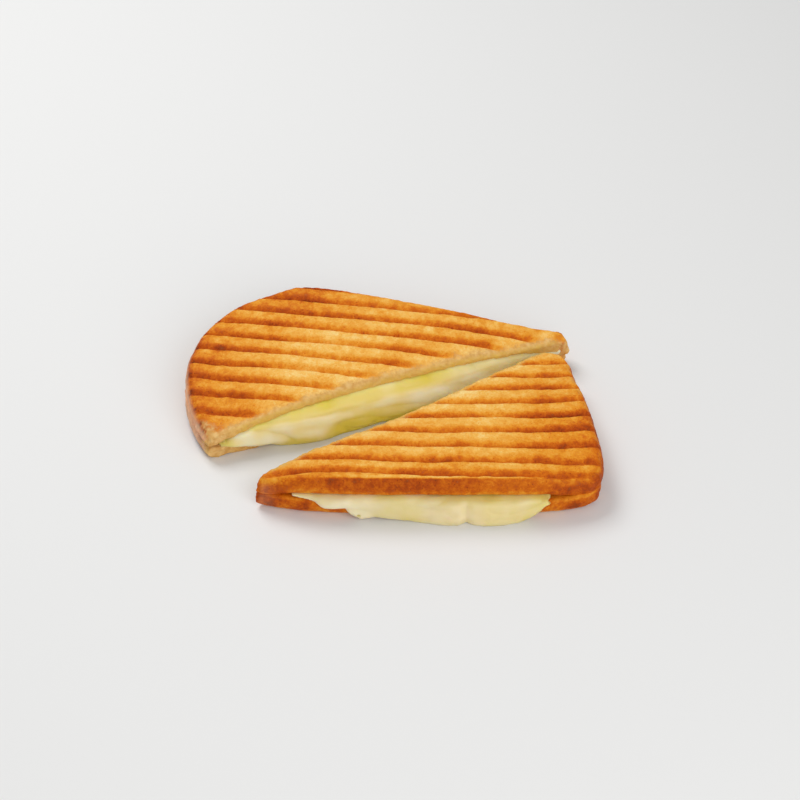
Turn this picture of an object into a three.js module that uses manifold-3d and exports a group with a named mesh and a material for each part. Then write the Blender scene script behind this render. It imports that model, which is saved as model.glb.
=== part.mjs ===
// Grilled cheese sandwich, pressed between ridged plates and cut once from corner to corner.
// Both halves lie flat, opened a little like a fan about the right-hand end of the cut.
// Each half has a lower slice of bread, a layer of melted cheese and an upper slice.
// Millimetres, +Z up. The underside rests on z = 0, and the origin ends up in the middle of the
// footprint. X runs along the grill ridges of the front half, and Y from front to back.
import * as THREE from "three";
import { mergeVertices } from "three/addons/utils/BufferGeometryUtils.js";
import Module from "manifold-3d";

const wasm = await Module();
wasm.setup();

// Overall sizes of the pressed sandwich
const HEIGHT = 21.3;
const EDGE_LOWER_TOP = 9.6; // top of the lower slice at its crust
const EDGE_UPPER_BOTTOM = 11.2; // underside of the upper slice at its crust
const MIDDLE_LOWER_TOP = 7.0; // top of the lower slice under the thick cheese
const MIDDLE_UPPER_BOTTOM = 14.3; // underside of the upper slice over the thick cheese
const CRUST_BAND = 18; // width over which the crust's layers pass into the middle's
const TOUCH_GAP = 0.3; // kept between pieces that touch

// Grill ridges: the press leaves narrow grooves between broad crests
const RIDGE_PITCH = 9.3;
const GROOVE_DEPTH = 1.8;
const UNDERSIDE_GROOVE_DEPTH = 1.3;
const FIRST_GROOVE_Y = -83.8;
const GROOVE_COUNT = 15;
// Share of the pitch either side of a groove's middle, with the share of its depth there.
// On top the wall in front is steep and the one behind is gentle.
const GROOVE_PROFILE = [
  [-0.5, 0],
  [-0.145, 0.02],
  [-0.07, 0.4],
  [0, 1],
  [0.12, 0.52],
  [0.31, 0.04],
];
const UNDERSIDE_GROOVE_PROFILE = [
  [-0.5, 0],
  [-0.22, 0],
  [0, 1],
  [0.22, 0],
];
const GROOVE_DRIFT = 0.35; // how far a groove wanders off its line
const GROOVE_UNEVENNESS = 0.16; // share by which a groove's depth comes and goes
const RIDGE_STEP = 12; // spacing of the ridged surfaces' points along the ridges
const INNER_STEP = 14; // spacing of the points where bread meets cheese
// The groove along the front crust lies this much closer to the next one
const FRONT_GROOVE = { number: 1, back: 1.3 };
const LEAN_START_X = -64.6; // a half whose ridges lean has them on their lines here

// Outline of the whole slice, a long loaf cut across: a smooth closed curve through these points
const SLICE_OUTLINE = [
  [56, -77],
  [75, -74.4],
  [84, -70],
  [86.6, -61],
  [85.2, -46],
  [81.2, -22],
  [77, -4],
  [77, 10],
  [76.6, 19.6],
  [74.8, 24.6],
  [71.4, 26.6],
  [64, 26.3],
  [44, 27.6],
  [14, 32.4],
  [-12, 36.7],
  [-36, 39.8],
  [-51, 39.2],
  [-64, 31.6],
  [-76.5, 22.5],
  [-89, 4],
  [-93, -18],
  [-88.5, -39],
  [-77.5, -57.5],
  [-65, -69.3],
  [-48, -74.6],
  [-30, -76.8],
  [12, -77.7],
];
const OUTLINE_SAMPLES = 84;
const LOWER_SLIP = [-0.6, -0.9]; // the lower slice lies a little further forward

// Crust profiles of the two slices: inset from the outline, and height
const UPPER_CRUST = [
  [3, 0],
  [1.8, EDGE_UPPER_BOTTOM],
  [0.4, 13.2],
  [0, 15.4],
  [0.6, 17.8],
  [1.6, 19.7],
  [3.2, 21.1],
  [7, 40],
];
const LOWER_CRUST = [
  [7, -12],
  [3, 0],
  [1.4, 1.4],
  [0.3, 3.6],
  [0, 6],
  [0.6, 8.2],
  [1.8, EDGE_LOWER_TOP],
  [3, 24],
];

// The knife pressed the cut edges down, and the pointed ends were squeezed most
const DROOP_REACH = 32;
const LIFT_REACH = 22; // cheese swelling out of the cut lifts the upper slice's underside
const CUT_WAVE = 0.4;
const CUT_STEPS = 34;
const CUT_OVERRUN = 40; // the cutting curve goes this far past the crust at both ends

// What the knife rolled away above the back half's cut edge: a closed shape, clockwise, of
// distances out of the cut and heights
const ROLLED_AWAY = [
  [1.6, 30],
  [1.6, 16.8],
  [0, 18.8],
  [-0.9, 19.6],
  [-2.4, 20.3],
  [-4.6, 20.9],
  [-7.5, 21.4],
  [-7.5, 30],
];

// Sizes of the tools that shape the solids, all of them beyond the sandwich
const BIG = 160;
const FIELD = { left: -99, right: 93, front: -84, back: 44 };
const FAR_BELOW = -20;
const FAR_ABOVE = 50;

// keep is the side of the cut that the half takes: -1 is the front, 1 the back.
// cut is a smooth curve from left to right, and droop the height lost all along it.
// lift is how much higher the upper slice's underside lies at the cut.
// pinch lists the squeezed places: x, y, share of height lost, reach.
// lean is the slope of the ridges, and bends list how far they turn back between two x.
const HALVES = {
  front: {
    keep: -1,
    cut: [
      [-71, -79],
      [-59.5, -69],
      [-49, -62.4],
      [-21, -47.6],
      [14, -26.6],
      [51, 0],
      [62, 8.6],
      [69, 9],
      [74, 3],
    ],
    droop: 1,
    lift: 0,
    pinch: [
      [-66, -72, 0.24, 20],
      [70, 10, 0.15, 30],
      [86, -72, 0.2, 24],
    ],
    lean: 0,
    bends: [
      { back: 3.6, from: 20, to: -50 },
      { back: 2.1, from: 60, to: 86 },
    ],
  },
  back: {
    keep: 1,
    cut: [
      [-80, -61.4],
      [-66, -55.2],
      [-53, -48.2],
      [-26, -31.8],
      [25, -5.5],
      [76, 20],
    ],
    droop: 1.8,
    lift: 2.6,
    pinch: [
      [-78, -58, 0.3, 27],
      [74, 20, 0.17, 32],
      [-92, -10, 0.06, 30],
    ],
    lean: -0.0246,
    bends: [],
  },
};
const FAN_PIVOT = [70, 18]; // right-hand end of the cut, which the back half turned about
const FAN_ANGLE = THREE.MathUtils.degToRad(-6.4);

// Cheese that ran out, at places along an edge: how far it reaches out, and its lowest height.
// Where the reach is below zero it stays back between the slices. On the front crust the place
// is x.
const FRONT_RUN = [
  [-46, -2, 9.6],
  [-38, -1.7, 9.4],
  [-35.4, -0.8, 8.8],
  [-34, 0.3, 7.6],
  [-32, 0.6, 6.6],
  [-27, 0.7, 6.8],
  [-22.6, 0.6, 6.9],
  [-21.2, 0.7, 4.6],
  [-19.5, 1, 2],
  [-16.5, 1.2, 0.9],
  [-10.6, 0.7, 2],
  [-4.5, 1, 1.4],
  [3, 1.6, 0.6],
  [10.6, 2, 0],
  [14.4, 3, 0],
  [21, 3.8, 0],
  [25, 3.6, 0],
  [27.6, 2.1, 0.7],
  [30, 3.2, 0],
  [36, 3.8, 0],
  [42, 3.6, 0],
  [48.4, 2.9, 0],
  [53.3, 1.9, 1.2],
  [57.5, 1.2, 3.6],
  [59.8, 0.8, 6.4],
  [61.4, 0.3, 8.6],
  [62.8, 0, 9.6],
];
// On a cut the place is the distance along it from its left-hand end.
const BACK_CUT_RUN = [
  [4, 0, 9.4],
  [14, 0.2, 9],
  [20, 0.7, 7.6],
  [26, 1.2, 4.4],
  [32, 1.8, 1.6],
  [38, 3.8, 0],
  [44, 5.8, 0],
  [57, 6.8, 0],
  [64, 6.1, 0],
  [74, 7.4, 0],
  [92, 7, 0],
  [110, 6.2, 0],
  [132, 4.2, 0],
  [152, 2.2, 2.6],
  [166, 0.5, 6],
];
const FRONT_CUT_RUN = [
  [30, 0.4, 8],
  [40, 2, 5.2],
  [50, 3.2, 3],
  [62, 2.8, 3.6],
  [84, 3.8, 2.4],
  [112, 2.4, 4],
  [134, 0.6, 7],
];
const RUN_STEP = 3.2; // spacing of the cheese's cross-sections
// Cross-section of cheese that ran out: share of its way out, share of its fall
const RUN_PROFILE = [
  [0, 0],
  [0.3, 0.05],
  [0.58, 0.17],
  [0.8, 0.36],
  [0.94, 0.6],
  [1, 0.84],
  [0.93, 1],
];
const RUN_SKIN = 0.9; // least thickness of cheese that hangs over an edge
const RUN_LIP = 1.6; // the cross-section starts this far inside the edge
const RUN_ROOT = 6; // how far a run reaches back into the cheese between the slices
const RUN_FALL = 0.2; // a run hangs at least this far below the layer of cheese
const LAYER_LOW = 3; // the bread's hollows are cut out of a layer between these two heights
const LAYER_HIGH = 17;
const CHEESE_INSET = 4; // the layer of cheese stops this far inside the crust

// Smooth step from 0 at a to 1 at b.
function ease(a, b, value) {
  const t = Math.min(1, Math.max(0, (value - a) / (b - a)));
  return t * t * (3 - 2 * t);
}

function mix(a, b, t) {
  return a + (b - a) * t;
}

// Slow unevenness along a line, between -1 and 1; seed picks another course.
function waver(s, seed) {
  const slow = Math.sin(s * 0.071 + seed * 2.4);
  const quick = Math.sin(s * 0.173 + seed * 5.1);
  return 0.62 * slow + 0.38 * quick;
}

// Closed solid of a half's geometry, with shared vertices merged.
// A half that is turned is seen from the other half's frame.
function solidOf(geometry, { turned = 0 }) {
  geometry.translate(-FAN_PIVOT[0], -FAN_PIVOT[1], 0);
  geometry.rotateZ(turned);
  geometry.translate(FAN_PIVOT[0], FAN_PIVOT[1], 0);
  geometry.deleteAttribute("normal");
  geometry.deleteAttribute("uv");
  const merged = mergeVertices(geometry, 1e-4);
  return new wasm.Manifold(
    new wasm.Mesh({
      numProp: 3,
      vertProperties: merged.attributes.position.array,
      triVerts: new Uint32Array(merged.index.array),
    }),
  );
}

// Evenly spaced points of the slice's outline with their outward normals, anticlockwise.
const outline = (() => {
  const points = SLICE_OUTLINE.map(([x, y]) => new THREE.Vector3(x, y, 0));
  const curve = new THREE.CatmullRomCurve3(points, true, "centripetal");
  const samples = [];
  for (let i = 0; i < OUTLINE_SAMPLES; i++) {
    const u = i / OUTLINE_SAMPLES;
    const at = curve.getPointAt(u);
    const along = curve.getTangentAt(u);
    samples.push({ x: at.x, y: at.y, nx: along.y, ny: -along.x });
  }
  return samples;
})();

// Distance from a point inside the slice to its crust, and 0 outside.
function rimDistance(x, y) {
  let nearest = Infinity;
  let inside = false;
  outline.forEach((a, i) => {
    const b = outline[(i + 1) % outline.length];
    const dx = b.x - a.x;
    const dy = b.y - a.y;
    const share = ((x - a.x) * dx + (y - a.y) * dy) / (dx * dx + dy * dy);
    const t = Math.min(1, Math.max(0, share));
    nearest = Math.min(nearest, Math.hypot(x - a.x - t * dx, y - a.y - t * dy));
    if (a.y > y !== b.y > y && x < a.x + ((y - a.y) / dy) * dx) inside = !inside;
  });
  return inside ? nearest : 0;
}

// Smooth curve of a half's cut from left to right, run on straight past both ends.
function cutCurve({ cut }) {
  const points = cut.map(([x, y]) => new THREE.Vector3(x, y, 0));
  const first = points[0];
  const last = points[points.length - 1];
  const before = first.clone().sub(points[1]).setLength(CUT_OVERRUN).add(first);
  const after = last.clone().sub(points[points.length - 2]).setLength(CUT_OVERRUN).add(last);
  return new THREE.CatmullRomCurve3([before, ...points, after], false, "centripetal");
}

// Place on the cut at a distance from its left-hand end, with the direction out of the half.
function cutAt(half, curve, distance) {
  const u = Math.min(1, Math.max(0, (distance + CUT_OVERRUN) / curve.getLength()));
  const at = curve.getPointAt(u);
  const along = curve.getTangentAt(u);
  return { x: at.x, y: at.y, nx: half.keep * along.y, ny: -half.keep * along.x };
}

// Distance from the straight line between the cut's ends into the half, at least 0.
function cutDistance({ cut, keep }, x, y) {
  const [x0, y0] = cut[0];
  const [x1, y1] = cut[cut.length - 1];
  const length = Math.hypot(x1 - x0, y1 - y0);
  return Math.max(0, (keep * ((x1 - x0) * (y - y0) - (y1 - y0) * (x - x0))) / length);
}

// What is left of the pressed height at a place in a half.
function squeeze(half, x, y) {
  const near = 1 - Math.min(1, cutDistance(half, x, y) / DROOP_REACH);
  let share = 1 - (half.droop / HEIGHT) * near * near;
  for (const [px, py, lost, reach] of half.pinch) {
    share -= lost * Math.exp(-(((x - px) ** 2 + (y - py) ** 2) / reach ** 2));
  }
  return share;
}

function lowerTop(half, x, y) {
  return mix(EDGE_LOWER_TOP, MIDDLE_LOWER_TOP, ease(0, CRUST_BAND, rimDistance(x, y)));
}

function upperBottom(half, x, y) {
  const near = 1 - Math.min(1, cutDistance(half, x, y) / LIFT_REACH);
  const middle = MIDDLE_UPPER_BOTTOM + half.lift * near;
  return mix(EDGE_UPPER_BOTTOM, middle, ease(0, CRUST_BAND, rimDistance(x, y)));
}

// Closed solid of stacked closed rings of equal size, each ring anticlockwise and above the last.
function stack(half, rings) {
  const count = rings[0].length;
  const position = rings.flat(2);
  const index = [];
  for (let r = 0; r + 1 < rings.length; r++) {
    for (let i = 0; i < count; i++) {
      const a = r * count + i;
      const b = r * count + ((i + 1) % count);
      index.push(a, b, b + count, a, b + count, a + count);
    }
  }
  const flat = rings[0].map(([x, y]) => new THREE.Vector2(x, y));
  for (const [a, b, c] of THREE.ShapeUtils.triangulateShape(flat, [])) index.push(a, c, b);
  const top = (rings.length - 1) * count;
  const flatTop = rings[rings.length - 1].map(([x, y]) => new THREE.Vector2(x, y));
  for (const [a, b, c] of THREE.ShapeUtils.triangulateShape(flatTop, [])) {
    index.push(top + a, top + b, top + c);
  }
  const geometry = new THREE.BufferGeometry();
  geometry.setAttribute("position", new THREE.Float32BufferAttribute(position, 3));
  geometry.setIndex(index);
  return solidOf(geometry, half);
}

// Whole slice with its rounded crust, from a profile of insets and heights, pressed as the half is.
function crustSolid(half, profile, slip, grow) {
  return stack(
    half,
    profile.map(([inset, z]) =>
      outline.map(({ x, y, nx, ny }) => {
        const px = x + slip[0] - nx * (inset - grow);
        const py = y + slip[1] - ny * (inset - grow);
        return [px, py, z * squeeze(half, px, py)];
      }),
    ),
  );
}

// Block between a height surface over a grid and a far level, which lies below or above it.
function gridBlock(half, columns, rows, place, farLevel) {
  const position = [];
  for (let r = 0; r < rows; r++) {
    for (let c = 0; c < columns; c++) {
      const [x, y, z] = place(r, c);
      position.push(x, y, z * squeeze(half, x, y));
    }
  }
  const layer = rows * columns;
  for (let i = 0; i < layer; i++) position.push(position[3 * i], position[3 * i + 1], farLevel);
  const index = [];
  const quad = (a, b, c, d) => index.push(a, b, c, a, c, d);
  for (let r = 0; r + 1 < rows; r++) {
    for (let c = 0; c + 1 < columns; c++) {
      const a = r * columns + c;
      quad(a, a + 1, a + columns + 1, a + columns);
      quad(layer + a, layer + a + columns, layer + a + columns + 1, layer + a + 1);
    }
  }
  for (let c = 0; c + 1 < columns; c++) {
    const far = (rows - 1) * columns + c;
    quad(c, layer + c, layer + c + 1, c + 1);
    quad(far, far + 1, layer + far + 1, layer + far);
  }
  for (let r = 0; r + 1 < rows; r++) {
    const a = r * columns;
    const b = a + columns - 1;
    quad(a, a + columns, layer + a + columns, layer + a);
    quad(b, layer + b, layer + b + columns, b + columns);
  }
  if (farLevel > 0) {
    for (let i = 0; i < index.length; i += 3) {
      [index[i + 1], index[i + 2]] = [index[i + 2], index[i + 1]];
    }
  }
  const geometry = new THREE.BufferGeometry();
  geometry.setAttribute("position", new THREE.Float32BufferAttribute(position, 3));
  geometry.setIndex(index);
  return solidOf(geometry, half);
}

// How far back a groove lies off its straight line at x.
function ridgeShift({ lean, bends }, groove, x) {
  const closer = groove === FRONT_GROOVE.number ? FRONT_GROOVE.back : 0;
  const bent = bends.reduce((sum, { back, from, to }) => sum + back * ease(from, to, x), 0);
  return closer + lean * (x - LEAN_START_X) + bent;
}

// Block whose one face carries the grill grooves: the top of the sandwich, or its underside.
function ridgedBlock(half, top) {
  const profile = top ? GROOVE_PROFILE : UNDERSIDE_GROOVE_PROFILE;
  const depth = top ? GROOVE_DEPTH : UNDERSIDE_GROOVE_DEPTH;
  const columns = Math.round((FIELD.right - FIELD.left) / RIDGE_STEP) + 1;
  const place = (r, c) => {
    const groove = Math.floor(r / profile.length);
    const [share, sink] = profile[r % profile.length];
    const x = FIELD.left + c * RIDGE_STEP;
    const drift = GROOVE_DRIFT * waver(x, groove + (top ? 0 : GROOVE_COUNT));
    const sunk = depth * sink * (1 + GROOVE_UNEVENNESS * waver(x, groove + 2 * GROOVE_COUNT));
    const line = FIRST_GROOVE_Y + (groove + share) * RIDGE_PITCH;
    return [x, line + drift + ridgeShift(half, groove, x), top ? HEIGHT - sunk : sunk];
  };
  const rows = GROOVE_COUNT * profile.length + 1;
  return gridBlock(half, columns, rows, place, top ? FAR_BELOW : FAR_ABOVE);
}

// Block above or below one of the faces where bread meets cheese.
function innerBlock(half, surface, shift, above) {
  const columns = Math.round((FIELD.right - FIELD.left) / INNER_STEP) + 1;
  const rows = Math.round((FIELD.back - FIELD.front) / INNER_STEP) + 1;
  const place = (r, c) => {
    const x = FIELD.left + c * INNER_STEP;
    const y = FIELD.front + r * INNER_STEP;
    return [x, y, surface(half, x, y) + shift];
  };
  return gridBlock(half, columns, rows, place, above ? FAR_ABOVE : FAR_BELOW);
}

// Upright tool that takes away all beyond the cut, from grow millimetres past it.
function cutTool(half, grow) {
  const curve = cutCurve(half);
  const reach = curve.getLength();
  const near = [];
  for (let i = 0; i <= CUT_STEPS; i++) {
    const s = mix(-CUT_OVERRUN, reach - CUT_OVERRUN, i / CUT_STEPS);
    const { x, y, nx, ny } = cutAt(half, curve, s);
    const out = grow + CUT_WAVE * waver(s, half.keep + 3);
    near.push([x + nx * out, y + ny * out]);
  }
  const { x, y, nx, ny } = cutAt(half, curve, reach / 2 - CUT_OVERRUN);
  for (const side of [-half.keep, half.keep]) {
    near.push([x + BIG * (nx + side * ny), y + BIG * (ny - side * nx)]);
  }
  const flat = near.map(([px, py]) => new THREE.Vector2(px, py));
  if (THREE.ShapeUtils.area(flat) < 0) flat.reverse();
  const geometry = new THREE.ExtrudeGeometry(new THREE.Shape(flat), {
    depth: FAR_ABOVE - FAR_BELOW,
    bevelEnabled: false,
  });
  geometry.translate(0, 0, FAR_BELOW);
  return solidOf(geometry, half);
}

function lowerBread(half) {
  return crustSolid(half, LOWER_CRUST, LOWER_SLIP, 0)
    .intersect(ridgedBlock(half, false))
    .intersect(innerBlock(half, lowerTop, 0, false))
    .subtract(cutTool(half, 0));
}

function upperBread(half) {
  return crustSolid(half, UPPER_CRUST, [0, 0], 0)
    .intersect(ridgedBlock(half, true))
    .intersect(innerBlock(half, upperBottom, 0, true))
    .subtract(cutTool(half, 0));
}

// The bread with the touching gap all round, for cutting the cheese clear of it.
function grownBread(half) {
  const lower = crustSolid(half, LOWER_CRUST, LOWER_SLIP, TOUCH_GAP).intersect(
    innerBlock(half, lowerTop, TOUCH_GAP, false),
  );
  const upper = crustSolid(half, UPPER_CRUST, [0, 0], TOUCH_GAP).intersect(
    innerBlock(half, upperBottom, -TOUCH_GAP, true),
  );
  return lower.add(upper).subtract(cutTool(half, TOUCH_GAP));
}

// Reach and lowest height of a run of cheese at a place along its edge.
function runAt(run, s) {
  const next = Math.max(1, run.findIndex(([place]) => place >= s));
  const [s0, reach0, low0] = run[next - 1];
  const [s1, reach1, low1] = run[next];
  const t = ease(s0, s1, s);
  return { reach: mix(reach0, reach1, t), low: mix(low0, low1, t) };
}

// Closed solid swept along an edge from place start to place end.
// edge(s) gives a point on it, the outward direction, and the heights of the layer of cheese.
// section(s, spot) lists a cross-section clockwise, as distances out of the edge and heights.
function swept(half, edge, start, end, stations, section) {
  const position = [];
  let count = 0;
  for (let i = 0; i <= stations; i++) {
    const s = mix(start, end, i / stations);
    const spot = edge(s);
    const ring = section(s, spot);
    count = ring.length;
    for (const [out, z] of ring) {
      const px = spot.x + spot.nx * out;
      const py = spot.y + spot.ny * out;
      position.push(px, py, z * squeeze(half, px, py));
    }
  }
  const last = stations * count;
  const index = [];
  for (let i = 0; i < last; i += count) {
    for (let j = 0; j < count; j++) {
      const a = i + j;
      const b = i + ((j + 1) % count);
      index.push(a, b + count, b, a, a + count, b + count);
    }
  }
  for (let j = 1; j + 1 < count; j++) index.push(0, j, j + 1, last, last + j + 1, last + j);
  if (half.keep > 0 || edge === alongFront) index.reverse();
  const geometry = new THREE.BufferGeometry();
  geometry.setAttribute("position", new THREE.Float32BufferAttribute(position, 3));
  geometry.setIndex(index);
  return solidOf(geometry, half);
}

// Cheese hanging out of the sandwich along an edge. grow makes the run thicker all round.
function cheeseRun(half, run, edge, grow = 0) {
  const start = run[0][0];
  const end = run[run.length - 1][0];
  const stations = Math.round((end - start) / RUN_STEP);
  return swept(half, edge, start, end, stations, (s, { top, bottom }) => {
    const { reach, low } = runAt(run, s);
    const head = top + grow;
    const foot = Math.min(low, bottom - RUN_FALL) - grow;
    const hanging = RUN_PROFILE.map(([out, fall]) => [
      mix(-RUN_LIP, RUN_SKIN + reach + grow, out),
      mix(head, foot, fall),
    ]);
    return [...hanging, [-RUN_ROOT, foot], [-RUN_ROOT, head]];
  });
}

// What the knife rolled away above a half's cut edge, past both ends of the cut.
function rolledAway(half) {
  const end = cutCurve(half).getLength() - CUT_OVERRUN;
  return swept(half, alongCut(half), -CUT_OVERRUN, end, CUT_STEPS, () => ROLLED_AWAY);
}

// The edge of a half's cut: s is the distance from its left-hand end.
function alongCut(half) {
  const curve = cutCurve(half);
  return (s) => {
    const at = cutAt(half, curve, s);
    return { ...at, top: upperBottom(half, at.x, at.y), bottom: lowerTop(half, at.x, at.y) };
  };
}

// The front crust of the lower slice: s is x.
function alongFront(s) {
  const front = outline.filter(({ ny }) => ny < -0.5).sort((a, b) => a.x - b.x);
  const next = Math.max(1, front.findIndex(({ x }) => x >= s));
  const a = front[next - 1];
  const b = front[next];
  const y = mix(a.y, b.y, (s - a.x) / (b.x - a.x)) + LOWER_SLIP[1];
  return { x: s, y, nx: 0, ny: -1, top: EDGE_UPPER_BOTTOM, bottom: EDGE_LOWER_TOP };
}

// Upright block over the footprint of a half, grow millimetres outside it.
function footprint(half, grow) {
  const ring = (z) => outline.map(({ x, y, nx, ny }) => [x + nx * grow, y + ny * grow, z]);
  return stack(half, [ring(FAR_BELOW), ring(FAR_ABOVE)]).subtract(cutTool(half, grow));
}

// Layer of cheese between the slices, still without the hollows that the bread leaves in it.
function layer(half) {
  const ring = (z) =>
    outline.map(({ x, y, nx, ny }) => [x - nx * CHEESE_INSET, y - ny * CHEESE_INSET, z]);
  return stack(half, [ring(LAYER_LOW), ring(LAYER_HIGH)]).subtract(cutTool(half, 0));
}

// Melted cheese of a half: the layer between the slices and what ran out of it.
function cheese(half, runs) {
  const table = new THREE.BoxGeometry(3 * BIG, 3 * BIG, BIG).translate(0, 0, -BIG / 2);
  let made = layer(half);
  for (const [run, edge] of runs) made = made.add(cheeseRun(half, run, edge));
  return made.subtract(grownBread(half)).subtract(solidOf(table, half));
}

// Largest connected piece of a solid.
function largest(solid) {
  return solid.decompose().sort((a, b) => b.volume() - a.volume())[0];
}

const toast = () => new THREE.MeshStandardMaterial({ color: 0xd98a3a, roughness: 0.62 });
const melted = () => new THREE.MeshStandardMaterial({ color: 0xe6d493, roughness: 0.32 });

function node(name, solid, look) {
  const { vertProperties, triVerts, numProp } = solid.getMesh();
  const position = new Float32Array((vertProperties.length / numProp) * 3);
  for (let i = 0; i * 3 < position.length; i++) {
    position.set(vertProperties.subarray(i * numProp, i * numProp + 3), i * 3);
  }
  const indexed = new THREE.BufferGeometry();
  indexed.setAttribute("position", new THREE.BufferAttribute(position, 3));
  indexed.setIndex(new THREE.BufferAttribute(triVerts, 1));
  const geometry = indexed.toNonIndexed();
  geometry.computeVertexNormals();
  const mesh = new THREE.Mesh(geometry, look());
  mesh.name = name;
  return mesh;
}

function frontHalf() {
  const melt = cheese(front, [
    [FRONT_CUT_RUN, alongCut(front)],
    [FRONT_RUN, alongFront],
  ]);
  return new THREE.Group().add(
    node("front_half_lower_bread", lowerBread(front), toast),
    node("front_half_cheese", largest(melt), melted),
    node("front_half_upper_bread", upperBread(front), toast),
  );
}

// The back half's cheese runs up to the front half and keeps clear of it.
function backHalf() {
  const beside = { ...front, turned: -FAN_ANGLE };
  const melt = cheese(back, [[BACK_CUT_RUN, alongCut(back)]])
    .subtract(footprint(beside, TOUCH_GAP))
    .subtract(cheeseRun(beside, FRONT_CUT_RUN, alongCut(front), TOUCH_GAP));
  const pieces = new THREE.Group().add(
    node("back_half_lower_bread", lowerBread(back), toast),
    node("back_half_cheese", largest(melt), melted),
    node("back_half_upper_bread", upperBread(back).subtract(rolledAway(back)), toast),
  );
  pieces.position.set(-FAN_PIVOT[0], -FAN_PIVOT[1], 0);
  const fan = new THREE.Group().add(pieces);
  fan.rotation.z = FAN_ANGLE;
  fan.position.set(FAN_PIVOT[0], FAN_PIVOT[1], 0);
  return fan;
}

const { front, back } = HALVES;
const laid = new THREE.Group().add(frontHalf(), backHalf());
const middle = new THREE.Box3().setFromObject(laid, true).getCenter(new THREE.Vector3());
laid.position.set(-middle.x, -middle.y, 0);

const sandwich = new THREE.Group().add(laid);
sandwich.name = "grilled_cheese_sandwich";

export default sandwich;
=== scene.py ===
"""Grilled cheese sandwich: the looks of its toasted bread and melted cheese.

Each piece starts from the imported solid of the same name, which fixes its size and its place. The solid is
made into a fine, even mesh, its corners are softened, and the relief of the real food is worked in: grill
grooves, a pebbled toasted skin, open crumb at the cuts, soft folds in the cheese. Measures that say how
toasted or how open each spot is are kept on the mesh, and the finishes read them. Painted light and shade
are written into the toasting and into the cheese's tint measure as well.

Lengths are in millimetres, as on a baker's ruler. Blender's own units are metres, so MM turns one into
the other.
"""

from __future__ import annotations

import logging
import math
from dataclasses import dataclass, field
from enum import Enum

import bpy
import numpy as np
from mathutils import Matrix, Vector

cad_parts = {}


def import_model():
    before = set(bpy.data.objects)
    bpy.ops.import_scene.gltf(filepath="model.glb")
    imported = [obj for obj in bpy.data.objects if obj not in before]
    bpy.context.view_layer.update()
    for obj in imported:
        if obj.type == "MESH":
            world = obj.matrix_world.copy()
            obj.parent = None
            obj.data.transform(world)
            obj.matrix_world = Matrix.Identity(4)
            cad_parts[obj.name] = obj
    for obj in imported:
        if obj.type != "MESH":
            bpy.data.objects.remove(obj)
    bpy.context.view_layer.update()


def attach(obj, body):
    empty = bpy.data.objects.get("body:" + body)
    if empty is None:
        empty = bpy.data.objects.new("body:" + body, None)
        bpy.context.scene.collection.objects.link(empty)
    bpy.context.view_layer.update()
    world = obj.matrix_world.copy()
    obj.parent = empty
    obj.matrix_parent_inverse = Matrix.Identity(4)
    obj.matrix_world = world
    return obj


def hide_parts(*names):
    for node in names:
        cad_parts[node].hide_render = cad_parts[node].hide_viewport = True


log = logging.getLogger("grilled_cheese")

MM = 0.001
BODY = "root"

Points = np.ndarray
Measure = np.ndarray


class Level(Enum):
    """The two slices of bread of each half."""

    LOWER = "lower"
    UPPER = "upper"


def ease(start: float, end: float, value: Measure) -> Measure:
    """Smooth step from 0 at start to 1 at end.

    Args:
        start: Where the step begins.
        end: Where it ends, which may lie below start.
        value: The places to measure.

    Returns:
        The height of the step at each place.
    """
    t = np.clip((value - start) / (end - start), 0.0, 1.0)
    return t * t * (3.0 - 2.0 * t)


def linear(red: int, green: int, blue: int) -> tuple[float, float, float, float]:
    """Scene colour of a colour as a screen shows it.

    Args:
        red: Red from 0 to 255.
        green: Green from 0 to 255.
        blue: Blue from 0 to 255.

    Returns:
        The same colour in linear light, with full alpha.
    """
    parts = []
    for part in (red, green, blue):
        share = part / 255.0
        parts.append(share / 12.92 if share <= 0.04045 else ((share + 0.055) / 1.055) ** 2.4)
    return (parts[0], parts[1], parts[2], 1.0)


def nearest(places: Points, targets: Points) -> Measure:
    """Distance in plan from each place to the nearest target.

    Args:
        places: All places.
        targets: The places to measure to.

    Returns:
        The distances.
    """
    thinned = np.unique(np.round(targets[:, :2]), axis=0)
    closest = np.full(len(places), np.inf)
    for block in np.array_split(thinned, max(1, len(thinned) // 40)):
        gap = places[:, None, :2] - block[None, :, :]
        closest = np.minimum(closest, np.sqrt((gap**2).sum(2)).min(1))
    return closest


@dataclass(frozen=True)
class Spot:
    """Soft round spot in plan, in the slice's frame.

    Attributes:
        x: Middle of the spot.
        y: Middle of the spot.
        reach: Distance at which it has faded to about a third.
        strength: Its height in the middle.
    """

    x: float
    y: float
    reach: float
    strength: float = 1.0

    def at(self, places: Points) -> Measure:
        """Returns the height of the spot at each of the places."""
        away = (places[:, 0] - self.x) ** 2 + (places[:, 1] - self.y) ** 2
        return self.strength * np.exp(-away / self.reach**2)


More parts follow.
